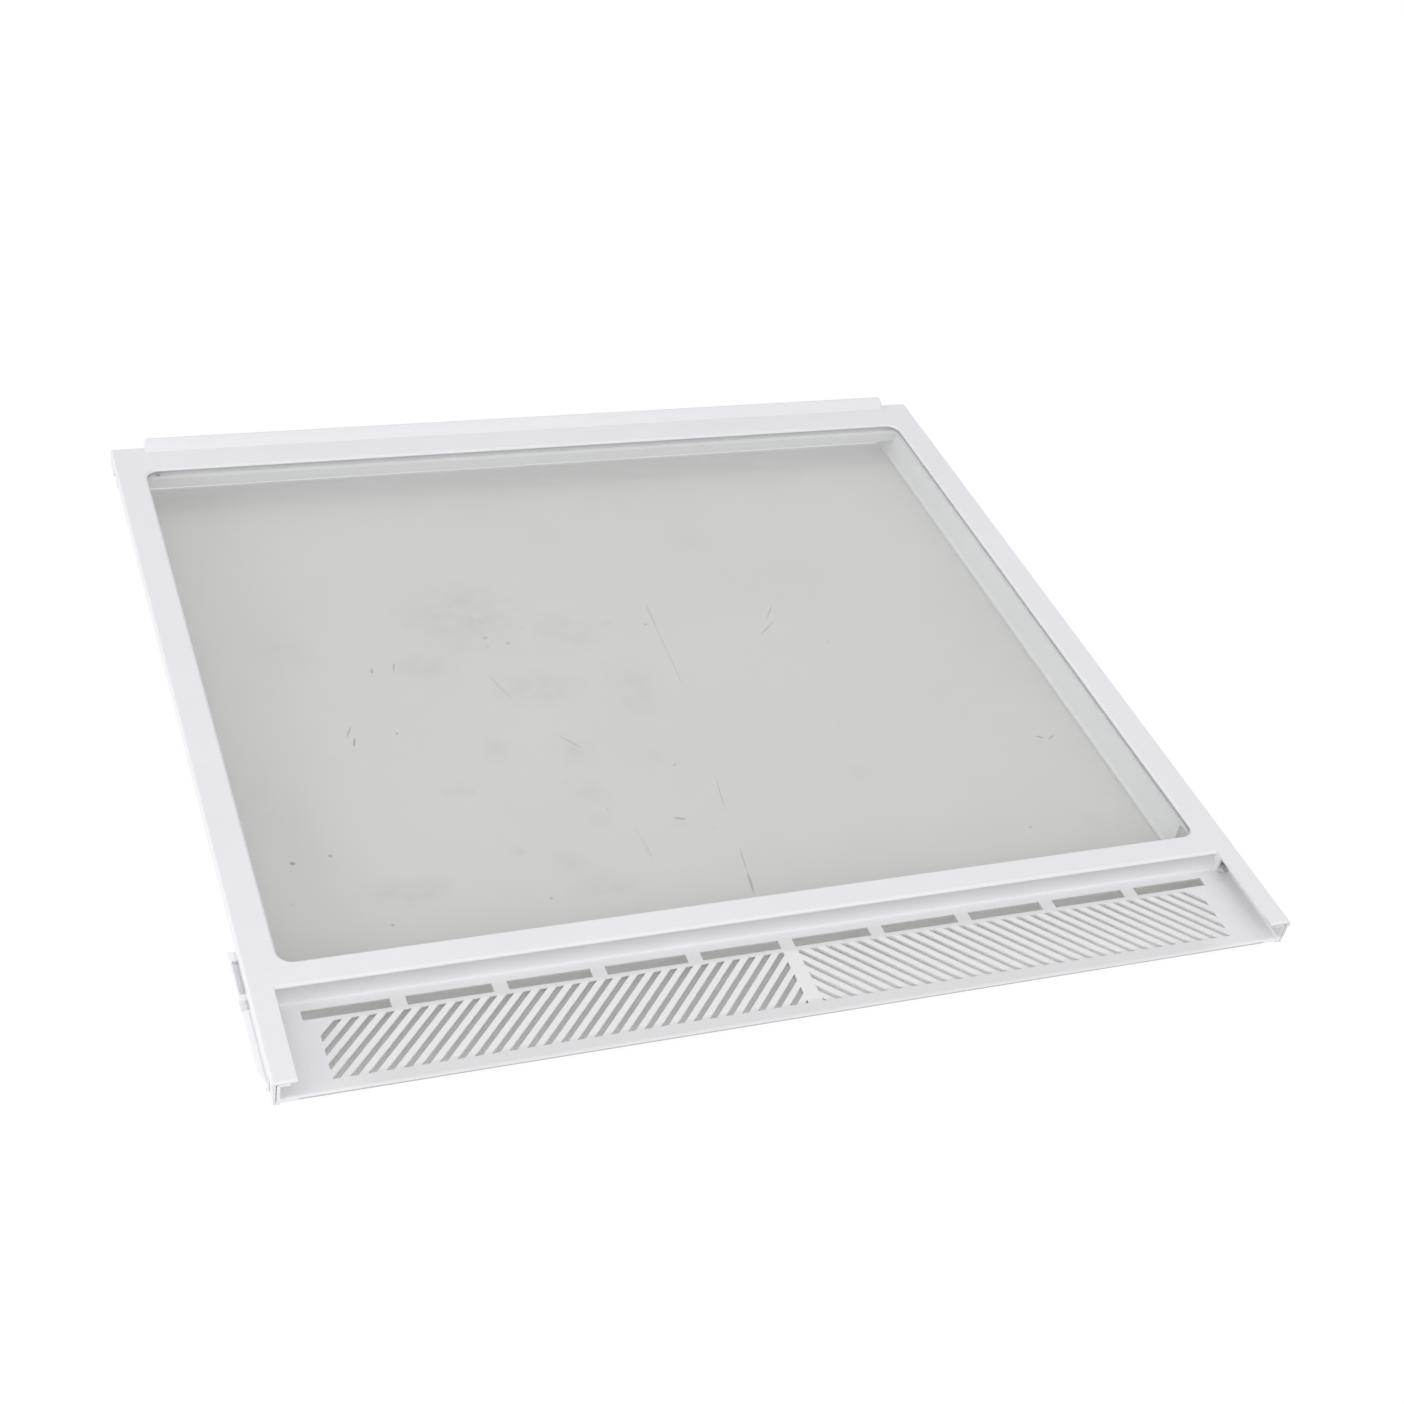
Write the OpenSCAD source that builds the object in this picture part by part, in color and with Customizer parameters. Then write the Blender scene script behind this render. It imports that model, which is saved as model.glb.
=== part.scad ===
// Fridge glass shelf: a pane held between an upper and a lower moulding, with a sunk grille at the front.
// Millimetres. X runs across the shelf, Y from the front to the rear, Z up.
// The origin is under the middle of the shelf, at the level of the skirts' feet.

/* [Overall] */
// Width over the side edges of the top face
frame_w = 475; // [440:1:520]
// Depth from the front edge to the rear edge
frame_d = 458; // [420:1:500]
// Height from the skirts' feet to the top face
frame_h = 25.5; // [23:0.5:36]
// Height of the front end, from the top face to the feet of the cheeks and runners
front_h = 13; // [12.5:0.5:15]
// Depth from the top face down to the grille plate
recess_h = 10.2; // [9.5:0.1:10.5]
// Height of the rear wall, from the top face down
rear_h = 18.5; // [16:0.5:20]

/* [Walls] */
// Wall thickness of both mouldings
wall = 1.5; // [1.2:0.1:2]
// Thickness of the upper frame's lips at the outer edge
lip_t = 1.8; // [1.5:0.1:2.2]
// Thickness of the grille plate
plate_t = 1.8; // [1.5:0.1:2]
// Rounding of the grille plate's front edge
plate_r = 1; // [0.4:0.1:1.2]
// Thickness of the ledge under the glass
ledge_t = 2; // [1.5:0.1:2.5]
// Gap between the two mouldings where one stands inside the other
nest_gap = 0.3; // [0.2:0.05:0.5]
// Rounding of the outer top edges
edge_r = 1; // [0.5:0.1:1.2]

/* [Window] */
// Width of the top face beside the glass
border_side = 15.2; // [14.5:0.1:22]
// Width of the top face behind the glass
border_rear = 22.3; // [21:0.1:34]
// Width of the crossbar between the glass and the grille
crossbar_w = 13.6; // [13:0.1:20]
// Corner radius of the window
window_r = 7; // [4:0.5:12]
// Bevel of the window's top edge
window_bevel = 0.9; // [0.2:0.1:1]

/* [Glass] */
// Thickness of the pane
glass_t = 4; // [3:0.5:5]
// How far each edge of the pane reaches under the frame
glass_lap = 5; // [3:0.5:5.5]
// Gap round the pane's edges
glass_gap = 0.5; // [0.3:0.1:0.8]
// Bevel of the pane's edges
glass_bevel = 0.4; // [0.2:0.1:0.6]
// Corner radius of the pane
pane_r = 3.5; // [1.5:0.5:8]

/* [Lips and upstand] */
// Height of the side lips
side_lip_h = 5; // [4:0.5:5.5]
// Height of the rear lip
rear_lip_h = 9.5; // [7:0.5:12]
// How far the rear lip's height turns the corner onto each side
rear_lip_wrap = 12; // [6:1:30]
// Height of the upstand over the top face
upstand_h = 6.3; // [5:0.1:15]
// Distance from each side edge to the upstand's end
upstand_inset = 17.6; // [8:0.1:40]
// Thickness of the upstand at its top
upstand_t = 2.2; // [1.6:0.1:4]
// Front-to-back reach of the upstand's foot
upstand_foot = 4.5; // [4.2:0.1:8]
// Rounding of the upstand's top edges
tip_r = 0.7; // [0.3:0.1:0.8]
// Corner radius of the upstand's ends
upstand_r = 3; // [2:0.5:4.5]

/* [Front arms] */
// Front-to-back depth of the sunk grille
recess_d = 50.5; // [48:0.5:64]
// Width of the top face on each arm
arm_w = 10.5; // [9.5:0.5:12]
// Length of the full-height cheek at each arm's front end
cheek_len = 7; // [4:0.5:12]
// Height of the rim above each cheek's outer face
cheek_rim = 3; // [2:0.5:4]
// Step from the rim in to the cheek's outer face
cheek_step = 0.5; // [0.2:0.1:0.6]
// Inward draft of a cheek's outer face at its foot
cheek_draft = 0.5; // [0.2:0.1:0.6]
// Rounding of the crossbar's front edge
step_r = 1.3; // [0.5:0.1:1.4]
// How far the step wall stands back under the crossbar's front edge
step_set = 0.2; // [0.1:0.1:0.4]
// Draft of the step wall at its foot
step_draft = 0.9; // [0.3:0.1:1.5]
// Length of the step wall's return along each arm
return_len = 3; // [2:0.5:8]
// Front-to-back length of the gap in the plate beside each return
gap_len = 4.4; // [3:0.1:12]

/* [Grille] */
// Number of slots in the rear row
slot_count = 10; // [6:1:14]
// Width of a slot, front to back
slot_w = 5.3; // [3:0.1:6]
// Bar left between two slots
slot_bar = 6.7; // [4:0.1:12]
// Distance from each side edge to the row of slots
slot_end = 20.6; // [18:0.1:40]
// Land between the step wall and the slots
slot_land = 5.6; // [4.5:0.1:7]
// Strip left between the slots and the slanted openings
field_strip = 2.1; // [1:0.1:3]
// Land in front of the slanted openings
field_front = 6.3; // [5:0.1:12]
// Distance from each side edge to the slanted openings
field_end = 26; // [18:0.1:60]
// Width of the rib between the left and right openings
field_rib = 7; // [4:0.1:20]
// Pitch of the slanted openings, along the front
slat_pitch = 7.38; // [5:0.01:14]
// Width of a slanted opening, along the front
slat_gap = 3.4; // [2:0.1:4]
// How far outside its field the first slanted opening starts
slat_start = 0.4; // [0.1:0.1:1]
// Angle between the openings and the front edge
slat_angle = 46.5; // [35:0.5:65]
// Fillet between the plate and the walls that stand on it
fillet_r = 1.2; // [0.5:0.1:2]

/* [Skirts and ribs] */
// Thickness of the walls under the window
skirt_t = 2; // [1.5:0.1:2.5]
// How far the wall under the window's rear edge stands in front of that edge
rear_set = 1.8; // [0.5:0.1:3]
// How far the bead on a skirt's foot stands out on each side
bead_out = 0.8; // [0.4:0.1:1.2]
// Height of the bead on a skirt's foot
bead_h = 2; // [1.5:0.1:3]
// Gap between the window's front edge and the front end of each skirt
skirt_gap = 13; // [8:1:40]
// Rounding of a skirt's front lower corner
skirt_r = 5; // [2:0.5:8]
// Length of the foot at each rear corner
foot_len = 8; // [4:0.5:20]
// Thickness of the stiffening ribs
rib_t = 1.2; // [0.9:0.1:1.8]
// Number of ribs under the rear edge
rear_ribs = 7; // [3:1:12]
// Number of ribs under each side edge
side_ribs = 5; // [2:1:8]
// Width of the shelf at the top of each arm's inner wall
arm_shelf = 5.5; // [2:0.5:7]

/* [Side runners] */
// How far a runner stands out past the side edge
runner_out = 3; // [2:0.5:5]
// Height of a runner
runner_h = 5; // [3:0.5:5]
// Length of a runner
runner_len = 74; // [50:1:120]
// Length of the lead-in ramp under a runner's rear end
ramp_len = 14; // [6:1:20]
// Rise of the lead-in ramp
ramp_h = 2.5; // [1:0.5:2.5]
// Length of the taper at a runner's front end
taper_len = 7; // [3:0.5:12]
// How far the taper has come in at its middle
taper_in = 0.8; // [0.2:0.1:1.2]
// Length of the solid block behind the pocket
runner_block = 5.4; // [2:0.1:8]
// Length of the open pocket in a runner
pocket_len = 19; // [8:1:20]
// Length of the notch in front of the pocket
notch_len = 5; // [2:0.5:8]
// Rib between the pocket and the notch
pocket_rib = 4; // [2:0.5:6]
// Outer wall of the pocket
pocket_wall = 1.1; // [0.8:0.1:1.4]
// Floor under the pocket
pocket_floor = 1.2; // [0.8:0.1:1.6]
// Depth of the notch, which is open at the side
notch_depth = 1.8; // [0.5:0.1:2.4]
// Radius of the detent under the runner
detent_r = 4; // [3:0.5:6]
// How far the detent stands below the runner
detent_drop = 1.8; // [0.5:0.1:2.5]

/* [Hidden] */
$fn = 48;
over = 1;

half_w = frame_w / 2;
half_d = frame_d / 2;
flange_z = frame_h - wall;
ledge_z = flange_z - glass_t;
deck_z = ledge_z - ledge_t;
foot_z = frame_h - front_h;
plate_top = frame_h - recess_h;
plate_z = plate_top - plate_t;
rear_z = frame_h - rear_h;
lip_z = frame_h - side_lip_h;

window_x = half_w - border_side;
window_rear = half_d - border_rear;
step_y = recess_d - half_d;
window_front = step_y + crossbar_w;
window_d = window_rear - window_front;
window_y = (window_rear + window_front) / 2;
arm_x = half_w - arm_w;

nest_x = half_w - lip_t - nest_gap;
nest_y = half_d - lip_t - nest_gap;
channel_x = nest_x - wall;
pocket_x = window_x + glass_lap + glass_gap;
front_wall_y = step_y + step_set;
gap_y = front_wall_y - gap_len;
skirt_front = window_front + skirt_gap;
rear_wall_y = window_rear - rear_set;

slot_row = frame_w - 2 * slot_end;
slot_len = (slot_row - (slot_count - 1) * slot_bar) / slot_count;
slot_front = step_y - slot_land - slot_w;
field_rear = slot_front - field_strip;
field_y0 = field_front - half_d;
field_d = field_rear - field_y0;
field_w = half_w - field_end - field_rib / 2;
slat_run = field_d / tan(slat_angle);

runner_x = half_w + runner_out;
runner_y0 = cheek_len + nest_gap - half_d;
runner_y1 = runner_y0 + runner_len;
runner_top = foot_z + runner_h;
root_x = half_w - nest_gap;
pocket_y1 = runner_y1 - runner_block;
pocket_y0 = pocket_y1 - pocket_len;
notch_y0 = pocket_y0 - pocket_rib - notch_len;

function spread(i, n, width) = width * ((i + 0.5) / n - 0.5);

// A slab with rounded corners, w by d, centred, from z = 0 to h
module rounded_slab(w, d, r, h) {
    translate([-w / 2 + r, -d / 2, 0]) cube([w - 2 * r, d, h]);
    translate([-w / 2, -d / 2 + r, 0]) cube([w, d - 2 * r, h]);
    for (sx = [-1, 1], sy = [-1, 1])
        translate([sx * (w / 2 - r), sy * (d / 2 - r), 0]) cylinder(r = r, h = h);
}

// The same slab, whose sides lean outwards by grow from z = 0 to h
module flared_slab(w, d, r, h, grow) {
    for (turn = [0, 1]) {
        long = turn == 0 ? w - 2 * r : d - 2 * r;
        short = turn == 0 ? d / 2 : w / 2;
        rotate([0, 0, 90 * turn]) translate([-long / 2, 0, 0]) rotate([90, 0, 90]) linear_extrude(long)
            polygon([[-short, 0], [short, 0], [short + grow, h], [-short - grow, h]]);
    }
    for (sx = [-1, 1], sy = [-1, 1])
        translate([sx * (w / 2 - r), sy * (d / 2 - r), 0]) cylinder(r1 = r, r2 = r + grow, h = h);
}

// A straight wall between two corners of its plan, from z0 to z1
module wall_box(x0, y0, x1, y1, z0, z1) {
    translate([min(x0, x1), min(y0, y1), z0]) cube([abs(x1 - x0), abs(y1 - y0), z1 - z0]);
}

// What a rounded edge leaves outside itself: the corner of a square less a quarter circle
module edge_cutter(r, len) {
    linear_extrude(len) difference() {
        square(r + over);
        circle(r);
    }
}

// Half section of the upper frame's outside, with its rounded top edge
module outside_section(half) {
    translate([-half, foot_z]) square([2 * half, front_h - edge_r]);
    translate([edge_r - half, foot_z]) square([2 * (half - edge_r), front_h]);
    for (side = [-1, 1]) translate([side * (half - edge_r), frame_h - edge_r]) circle(edge_r);
}

// Solid block in the upper frame's outer shape, rounded along the sides and along the front and rear
module outside_block() {
    intersection() {
        rotate([90, 0, 0]) linear_extrude(frame_d, center = true) outside_section(half_w);
        rotate([90, 0, 90]) linear_extrude(frame_w, center = true) outside_section(half_d);
    }
}

// The window through the top face, with its bevelled edge
module window_cut() {
    translate([0, window_y, deck_z - over])
        rounded_slab(2 * window_x, window_d, window_r, frame_h - deck_z + 2 * over);
    translate([0, window_y, frame_h - window_bevel])
        flared_slab(2 * window_x, window_d, window_r, window_bevel + over, window_bevel + over);
}

// A cheek's outer face is set in under its rim, and leans in towards its foot
module cheek_cut() {
    rim_z = frame_h - cheek_rim;
    face_x = half_w - cheek_step;
    rotate([90, 0, 0]) translate([0, 0, half_d - cheek_len - over]) linear_extrude(cheek_len + 2 * over)
        polygon([[face_x, rim_z], [face_x - cheek_draft, foot_z], [face_x - cheek_draft, foot_z - over],
                 [half_w + over, foot_z - over], [half_w + over, rim_z + cheek_step]]);
}

// Upstand along the rear edge: a tapered fin with rounded ends
module upstand() {
    len = frame_w - 2 * upstand_inset;
    back = half_d - edge_r / 2;
    top = frame_h + upstand_h;
    tip_z = top - tip_r;
    intersection() {
        rotate([90, 0, 90]) linear_extrude(len, center = true) {
            polygon([[back - upstand_foot, frame_h - wall / 2], [back, frame_h - wall / 2], [back, tip_z],
                     [back - upstand_t, tip_z], [back - upstand_foot, frame_h]]);
            translate([back - upstand_t + tip_r, tip_z]) square([upstand_t - 2 * tip_r, tip_r]);
            translate([back - upstand_t + tip_r, tip_z]) circle(tip_r);
            translate([back - tip_r, tip_z]) circle(tip_r);
        }
        translate([0, half_d + over, 0]) rotate([90, 0, 0]) linear_extrude(upstand_foot + 2 * over) {
            translate([-len / 2, 0]) square([len, top - upstand_r]);
            translate([upstand_r - len / 2, 0]) square([len - 2 * upstand_r, top]);
            for (side = [-1, 1])
                translate([side * (len / 2 - upstand_r), top - upstand_r]) circle(upstand_r);
        }
    }
}

module upper_frame() {
    color([0.90, 0.91, 0.93]) difference() {
        union() {
            difference() {
                outside_block();
                // hollow under the top face
                wall_box(lip_t - half_w, -half_d - over, half_w - lip_t, half_d - lip_t, foot_z - over, flange_z);
                // side and rear lips end above the lower frame's feet
                wall_box(-half_w - over, cheek_len - half_d, half_w + over, half_d - rear_lip_wrap,
                         foot_z - over, lip_z);
                wall_box(-half_w - over, half_d - rear_lip_wrap - over, half_w + over, half_d + over,
                         foot_z - over, frame_h - rear_lip_h);
                // recess between the arms
                wall_box(-arm_x, -half_d - over, arm_x, step_y, foot_z - over, frame_h + over);
                for (side = [0, 1]) mirror([side, 0, 0]) cheek_cut();
            }
            upstand();
        }
        window_cut();
        // rounded front edge of the crossbar
        translate([-arm_x, step_y + step_r, frame_h - step_r]) rotate([90, 0, 90]) mirror([1, 0, 0])
            edge_cutter(step_r, 2 * arm_x);
    }
}

module glass_pane() {
    w = 2 * (window_x + glass_lap);
    d = window_d + 2 * glass_lap;
    flat_w = w - 2 * glass_bevel;
    flat_d = d - 2 * glass_bevel;
    color([0.78, 0.85, 0.82, 0.5]) translate([0, window_y, ledge_z]) {
        translate([0, 0, glass_bevel]) rounded_slab(w, d, pane_r, glass_t - 2 * glass_bevel);
        flared_slab(flat_w, flat_d, pane_r - glass_bevel, glass_bevel, glass_bevel);
        translate([0, 0, glass_t]) mirror([0, 0, 1])
            flared_slab(flat_w, flat_d, pane_r - glass_bevel, glass_bevel, glass_bevel);
    }
}

// The left half of the chevron: slanted openings clipped to their field
module slanted_openings() {
    first = -floor((slat_run - slat_gap) / slat_pitch);
    last = floor(field_w / slat_pitch);
    x0 = field_end - half_w;
    lead = over / tan(slat_angle);
    intersection() {
        translate([x0, field_y0]) square([field_w, field_d]);
        for (i = [first:last]) translate([x0 - slat_start + i * slat_pitch, 0])
            polygon([[-lead, field_y0 - over], [slat_gap - lead, field_y0 - over],
                     [slat_run + slat_gap + lead, field_rear + over], [slat_run + lead, field_rear + over]]);
    }
}

// Plate along the front: a row of slots behind two fields of slanted openings that mirror each other
module grille_plate() {
    difference() {
        wall_box(-nest_x, -half_d, nest_x, front_wall_y + wall, plate_z, plate_top);
        translate([0, 0, plate_z - over]) linear_extrude(plate_t + 2 * over) {
            for (i = [0:slot_count - 1])
                translate([spread(i, slot_count, slot_row + slot_bar) - slot_len / 2, slot_front])
                    square([slot_len, slot_w]);
            for (side = [0, 1]) mirror([side, 0]) {
                slanted_openings();
                // gap under the arm, beside the step wall's return
                translate([arm_x + wall, gap_y]) square([channel_x - arm_x - wall, gap_len]);
            }
        }
        // rounded front edge
        translate([-nest_x - over, plate_r - half_d, plate_top - plate_r]) rotate([90, 0, 90])
            mirror([1, 0, 0]) edge_cutter(plate_r, 2 * (nest_x + over));
    }
}

// Section of the fillet on the plate's top face, against a wall whose foot is at x
module plate_fillet(x) {
    difference() {
        translate([x - fillet_r, plate_top - plate_t / 2]) square([fillet_r, fillet_r + plate_t / 2]);
        translate([x - fillet_r, plate_top + fillet_r]) circle(fillet_r);
    }
}

// Leaning face that steps down from the crossbar to the plate, with a short return under each arm
module step_wall() {
    foot_y = step_y - step_draft;
    rear_y = front_wall_y + wall / 2;
    low_z = plate_top - plate_t / 2;
    translate([-arm_x - wall / 2, 0, 0]) rotate([90, 0, 90]) linear_extrude(2 * arm_x + wall) {
        polygon([[foot_y, low_z], [rear_y, low_z], [rear_y, flange_z], [front_wall_y, flange_z],
                 [foot_y, plate_top + fillet_r]]);
        plate_fillet(foot_y);
    }
    for (side = [0, 1]) mirror([side, 0, 0])
        wall_box(arm_x, step_y - return_len, arm_x + wall, rear_y, low_z, flange_z);
}

// Wall and shelf inside one arm, seen as a C-section at the arm's front end
module arm_channel() {
    rotate([90, 0, 0]) translate([0, 0, -front_wall_y]) linear_extrude(half_d + front_wall_y) {
        translate([channel_x, foot_z]) square([wall, flange_z - foot_z - wall]);
        translate([nest_x - arm_shelf, flange_z - wall]) square([arm_shelf - wall, wall]);
        // rounded outer corner
        intersection() {
            translate([channel_x, flange_z - wall]) square(wall);
            translate([channel_x, flange_z - wall]) circle(wall);
        }
    }
    rotate([90, 0, 0]) translate([0, 0, -gap_y]) linear_extrude(half_d + gap_y) {
        plate_fillet(channel_x);
        translate([channel_x, plate_top - plate_t / 2]) square([wall / 2, fillet_r + plate_t / 2]);
    }
}

// Long wall under the window's side edge, which runs on to the rear wall. Its foot is beaded and
// its front lower corner is rounded.
module side_skirt() {
    len = nest_y - wall / 2 - skirt_front;
    in = window_x - bead_out;
    out = window_x + skirt_t + bead_out;
    bevel = bead_h / 4;
    difference() {
        translate([0, skirt_front + len, 0]) rotate([90, 0, 0]) linear_extrude(len)
            polygon([[window_x, deck_z + ledge_t / 2], [window_x, bead_h + bead_out], [in, bead_h],
                     [in, bevel], [in + bevel, 0], [out - bevel, 0], [out, bevel],
                     [out, bead_h], [window_x + skirt_t, bead_h + bead_out],
                     [window_x + skirt_t, deck_z + ledge_t / 2]]);
        translate([in - over, skirt_front + skirt_r, skirt_r]) rotate([90, 0, 90]) rotate([0, 0, 180])
            edge_cutter(skirt_r, out - in + 2 * over);
    }
}

// Ledge ring that the glass lies on, with the rib that locates the pane
module glass_seat() {
    rib_out = pocket_x + wall;
    difference() {
        union() {
            wall_box(-rib_out, front_wall_y, rib_out, nest_y, deck_z, ledge_z);
            wall_box(-nest_x, window_front, nest_x, nest_y, deck_z, ledge_z);
            translate([0, window_y, ledge_z - ledge_t / 2])
                rounded_slab(2 * rib_out, window_d + 2 * (rib_out - window_x), pane_r + wall,
                             glass_t + ledge_t / 2);
        }
        translate([0, window_y, ledge_z])
            rounded_slab(2 * pocket_x, window_d + 2 * (pocket_x - window_x), pane_r, glass_t + over);
        window_cut();
    }
}

// Outer walls that stand inside the upper frame's lips, and the feet at the rear corners
module outer_walls() {
    for (side = [0, 1]) mirror([side, 0, 0]) {
        wall_box(channel_x, front_wall_y, nest_x, nest_y, foot_z, flange_z);
        wall_box(channel_x, nest_y - foot_len, nest_x, nest_y, rear_z, foot_z + over);
    }
    wall_box(-nest_x, nest_y - wall, nest_x, nest_y, rear_z, flange_z);
    wall_box(-pocket_x - wall, front_wall_y, pocket_x + wall, front_wall_y + wall, plate_z, flange_z);
}

// Walls under the window's rear and front edges. The rear one carries a strip of ledge that shows
// through the glass.
module cross_walls() {
    end = window_x + skirt_t;
    top = deck_z + ledge_t / 2;
    wall_box(-end, rear_wall_y, end, window_rear + skirt_t, deck_z, ledge_z);
    wall_box(-end, rear_wall_y, end, rear_wall_y + skirt_t, foot_z, top);
    wall_box(-end, window_front - skirt_t, end, window_front, plate_z, top);
}

// Ribs across the hollows under the rear edge, the sides and the crossbar
module stiffening_ribs() {
    top = deck_z + ledge_t / 2;
    for (i = [0:rear_ribs - 1])
        translate([spread(i, rear_ribs, 2 * window_x), 0, 0])
            wall_box(-rib_t / 2, rear_wall_y + skirt_t / 2, rib_t / 2, nest_y - wall / 2, foot_z + wall, top);
    for (side = [0, 1], i = [0:side_ribs - 1]) mirror([side, 0, 0])
        translate([0, (window_rear + skirt_front) / 2 + spread(i, side_ribs, window_rear - skirt_front), 0])
            wall_box(window_x + skirt_t / 2, -rib_t / 2, channel_x + wall / 2, rib_t / 2, foot_z + wall, top);
    for (i = [1:slot_count - 1])
        translate([spread(i - 0.5, slot_count, slot_row + slot_bar), 0, 0])
            wall_box(-rib_t / 2, front_wall_y + wall / 2, rib_t / 2, window_front - skirt_t / 2,
                     plate_z + wall, top);
}

// Side view of a runner: flat underside, a ramp that rises to the rear end
module runner_side() {
    polygon([[runner_y0, foot_z], [runner_y1 - ramp_len, foot_z], [runner_y1, foot_z + ramp_h],
             [runner_y1, lip_z - nest_gap], [runner_y0, lip_z - nest_gap]]);
}

// Plan of a runner, whose front end tapers towards the cheek
module runner_plan() {
    polygon([[channel_x + wall / 2, runner_y0], [half_w - cheek_step, runner_y0],
             [runner_x - taper_in, runner_y0 + taper_len / 2], [runner_x, runner_y0 + taper_len],
             [runner_x, runner_y1], [channel_x + wall / 2, runner_y1]]);
}

// Runner on the outside of the side wall, with an open pocket, a notch and a detent
module side_runner() {
    cut_w = runner_x - pocket_wall - nest_x;
    difference() {
        union() {
            intersection() {
                translate([channel_x, 0, 0]) rotate([90, 0, 90]) linear_extrude(runner_x - channel_x)
                    runner_side();
                translate([0, 0, foot_z]) linear_extrude(lip_z - foot_z) runner_plan();
            }
            translate([root_x, (pocket_y0 + pocket_y1) / 2, foot_z + detent_r - detent_drop])
                rotate([0, 90, 0]) cylinder(r = detent_r, h = runner_out + nest_gap);
        }
        // the ledge on top of the runner, outside its root
        wall_box(root_x, runner_y0 - over, runner_x + over, runner_y1 + over, runner_top, frame_h);
        // the pocket is open at the top, and the notch also at the side
        wall_box(nest_x, pocket_y0, nest_x + cut_w, pocket_y1, foot_z + ramp_h + pocket_floor, frame_h);
        wall_box(nest_x, notch_y0, runner_x + over, notch_y0 + notch_len, runner_top - notch_depth, frame_h);
    }
}

module lower_frame() {
    color([0.88, 0.89, 0.92]) {
        grille_plate();
        step_wall();
        glass_seat();
        outer_walls();
        cross_walls();
        stiffening_ribs();
        for (side = [0, 1]) mirror([side, 0, 0]) {
            arm_channel();
            side_skirt();
            side_runner();
        }
    }
}

upper_frame();
glass_pane();
lower_frame();
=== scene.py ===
import math
import bpy
from mathutils import Euler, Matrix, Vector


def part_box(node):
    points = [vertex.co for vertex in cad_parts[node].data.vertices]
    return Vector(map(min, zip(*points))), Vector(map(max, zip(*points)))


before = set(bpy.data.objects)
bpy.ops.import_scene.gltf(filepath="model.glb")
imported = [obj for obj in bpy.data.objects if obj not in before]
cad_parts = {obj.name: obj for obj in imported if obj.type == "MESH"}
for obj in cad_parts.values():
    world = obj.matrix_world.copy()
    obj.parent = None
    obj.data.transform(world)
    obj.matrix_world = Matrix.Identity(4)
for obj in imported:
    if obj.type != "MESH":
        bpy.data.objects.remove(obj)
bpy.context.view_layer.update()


# small helpers for node trees

def addNode(tree, kind, at, **inputs):
    node = tree.nodes.new(kind)
    node.location = at
    for name, value in inputs.items():
        node.inputs[name.replace("_", " ")].default_value = value
    return node


def feed(tree, values, sockets):
    # each value is a plain number or colour, or another node's output
    for value, socket in zip(values, sockets):
        if isinstance(value, (int, float, tuple)):
            socket.default_value = value
        else:
            tree.links.new(value, socket)


def mathStep(tree, what, at, *values, clamp=False):
    node = addNode(tree, "ShaderNodeMath", at)
    node.operation = what
    node.use_clamp = clamp
    feed(tree, values, node.inputs)
    return node.outputs[0]


def vectorStep(tree, what, at, *values):
    node = addNode(tree, "ShaderNodeVectorMath", at)
    node.operation = what
    feed(tree, values, node.inputs)
    return node.outputs["Value" if what == "DOT_PRODUCT" else "Vector"]


def blendColours(tree, at, share, first, second):
    node = addNode(tree, "ShaderNodeMix", at)
    node.data_type = "RGBA"
    feed(tree, (share, first, second), [node.inputs[number] for number in (0, 6, 7)])    # factor, A, B
    return node.outputs[2]


def mixShaders(tree, at, share, first, second):
    node = addNode(tree, "ShaderNodeMixShader", at)
    feed(tree, (share, first, second), node.inputs)
    return node.outputs[0]


def closeTree(tree, kind, at, shader):
    out = addNode(tree, kind, at)
    tree.links.new(shader, out.inputs["Surface"])


def splitAxes(tree, at, vector):
    node = addNode(tree, "ShaderNodeSeparateXYZ", at)
    tree.links.new(vector, node.inputs[0])
    return node.outputs


def startGroup(name, inputs, output, first="Spot"):
    # the first input is always linked, so it has no value of its own
    group = bpy.data.node_groups.new(name, "ShaderNodeTree")
    group.interface.new_socket(first, in_out="INPUT", socket_type="NodeSocketVector")
    for label, value in inputs.items():
        kind = "NodeSocketVector" if isinstance(value, tuple) else "NodeSocketFloat"
        socket = group.interface.new_socket(label, in_out="INPUT", socket_type=kind)
        socket.default_value = value
    group.interface.new_socket(output, in_out="OUTPUT", socket_type="NodeSocketFloat")
    return group, addNode(group, "NodeGroupInput", (-900, 0)).outputs


def endGroup(group, value):
    out = addNode(group, "NodeGroupOutput", (900, 0))
    group.links.new(value, out.inputs[0])
    return group


def placeGroup(tree, group, at, first, **values):
    node = tree.nodes.new("ShaderNodeGroup")
    node.node_tree = group
    node.location = at
    for name, value in values.items():
        node.inputs[name].default_value = value
    tree.links.new(first, node.inputs[0])
    return node.outputs[0]


def newMaterial(name):
    material = bpy.data.materials.new(name)
    material.use_nodes = True
    material.node_tree.nodes.clear()
    return material, material.node_tree


# camera

view = {
    "place": (-0.362418, -0.799791, 0.694057),    # metres
    "turn": (51.5694, -8.3667, -19.4220),         # degrees, x then y then z
    "lens": 56.245,                               # millimetres, like the sensor
    "sensor": 36.0,
    "nearest": 0.05,                              # what lies nearer or farther isn't drawn
    "farthest": 60.0,
}


def setCamera():
    data = bpy.data.cameras.new("shelfCamera")
    data.lens = view["lens"]
    data.sensor_width = view["sensor"]
    data.sensor_fit = "HORIZONTAL"
    data.clip_start = view["nearest"]
    data.clip_end = view["farthest"]
    camera = bpy.data.objects.new("shelfCamera", data)
    camera.location = view["place"]
    camera.rotation_euler = Euler([math.radians(angle) for angle in view["turn"]], "XYZ")
    bpy.context.scene.collection.objects.link(camera)
    bpy.context.scene.camera = camera
    print("camera set")


# lamps and sky

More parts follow.
